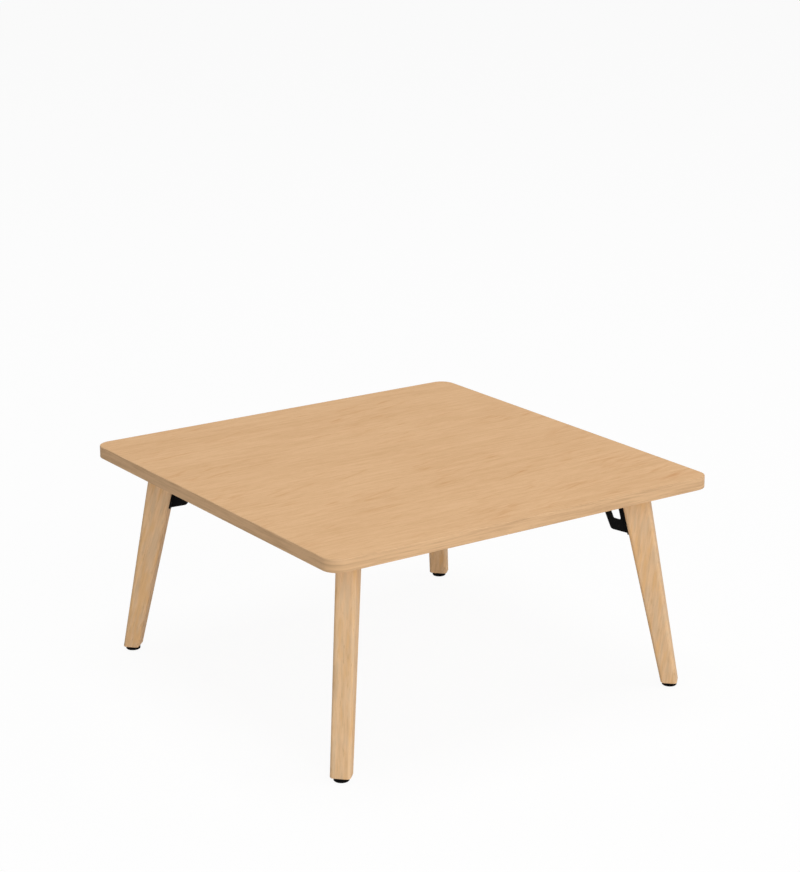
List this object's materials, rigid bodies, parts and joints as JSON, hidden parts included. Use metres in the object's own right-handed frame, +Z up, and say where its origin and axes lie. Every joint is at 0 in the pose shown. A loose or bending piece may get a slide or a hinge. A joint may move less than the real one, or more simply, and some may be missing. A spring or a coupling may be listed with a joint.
{
  "type": "low folding table",
  "caption": "Low square wooden table with rounded corners, on splayed tapered legs that fold inwards along the diagonals on black steel hinge brackets.",
  "frame": {"origin": "on the floor, under the middle of the top", "axes": "+Z up, +X along the front edge to the right, +Y from the front edge to the back edge"},
  "size_m": [0.9, 0.9, 0.45],
  "materials": {
    "top_face": "matt light oak grain sheet",
    "edge_wood": "matt light oak edge band",
    "core_board": "pressed board",
    "backing": "matt backing sheet",
    "leg_wood": "matt clear lacquer",
    "black_steel": "matt black powder coat",
    "black_bolt": "black passivated steel",
    "zinc_steel": "bright zinc plated",
    "nylon": "natural nylon",
    "black_plastic": "moulded"
  },
  "bodies": {
    "table_top": {"top_core": "core_board", "top_sheet": "top_face", "bottom_sheet": "backing", "edge_band": "edge_wood", "front_left_hinge_base": "black_steel", "front_left_base_screws": "black_bolt", "front_left_pivot_bolt": "black_bolt", "front_left_friction_washers": "nylon", "front_left_lock_nut": "black_bolt", "front_right_hinge_base": "black_steel", "front_right_base_screws": "black_bolt", "front_right_pivot_bolt": "black_bolt", "front_right_friction_washers": "nylon", "front_right_lock_nut": "black_bolt", "back_right_hinge_base": "black_steel", "back_right_base_screws": "black_bolt", "back_right_pivot_bolt": "black_bolt", "back_right_friction_washers": "nylon", "back_right_lock_nut": "black_bolt", "back_left_hinge_base": "black_steel", "back_left_base_screws": "black_bolt", "back_left_pivot_bolt": "black_bolt", "back_left_friction_washers": "nylon", "back_left_lock_nut": "black_bolt"},
    "front_left_leg_unit": {"front_left_leg": "leg_wood", "front_left_glide": "black_plastic", "front_left_glide_screw": "zinc_steel", "front_left_leg_bracket": "black_steel", "front_left_leg_screws": "black_bolt"},
    "front_right_leg_unit": {"front_right_leg": "leg_wood", "front_right_glide": "black_plastic", "front_right_glide_screw": "zinc_steel", "front_right_leg_bracket": "black_steel", "front_right_leg_screws": "black_bolt"},
    "back_right_leg_unit": {"back_right_leg": "leg_wood", "back_right_glide": "black_plastic", "back_right_glide_screw": "zinc_steel", "back_right_leg_bracket": "black_steel", "back_right_leg_screws": "black_bolt"},
    "back_left_leg_unit": {"back_left_leg": "leg_wood", "back_left_glide": "black_plastic", "back_left_glide_screw": "zinc_steel", "back_left_leg_bracket": "black_steel", "back_left_leg_screws": "black_bolt"}
  },
  "joints": [
    {"name": "front_left_leg_fold", "type": "hinge", "parent": "table_top", "child": "front_left_leg_unit", "pos_m": [-0.3124, -0.3124, 0.394], "axis": [0.7071, -0.7071, 0], "range_deg": [0, 103]},
    {"name": "front_right_leg_fold", "type": "hinge", "parent": "table_top", "child": "front_right_leg_unit", "pos_m": [0.3124, -0.3124, 0.394], "axis": [0.7071, 0.7071, 0], "range_deg": [0, 103]},
    {"name": "back_right_leg_fold", "type": "hinge", "parent": "table_top", "child": "back_right_leg_unit", "pos_m": [0.3124, 0.3124, 0.394], "axis": [-0.7071, 0.7071, 0], "range_deg": [0, 103]},
    {"name": "back_left_leg_fold", "type": "hinge", "parent": "table_top", "child": "back_left_leg_unit", "pos_m": [-0.3124, 0.3124, 0.394], "axis": [-0.7071, -0.7071, 0], "range_deg": [0, 103]}
  ]
}
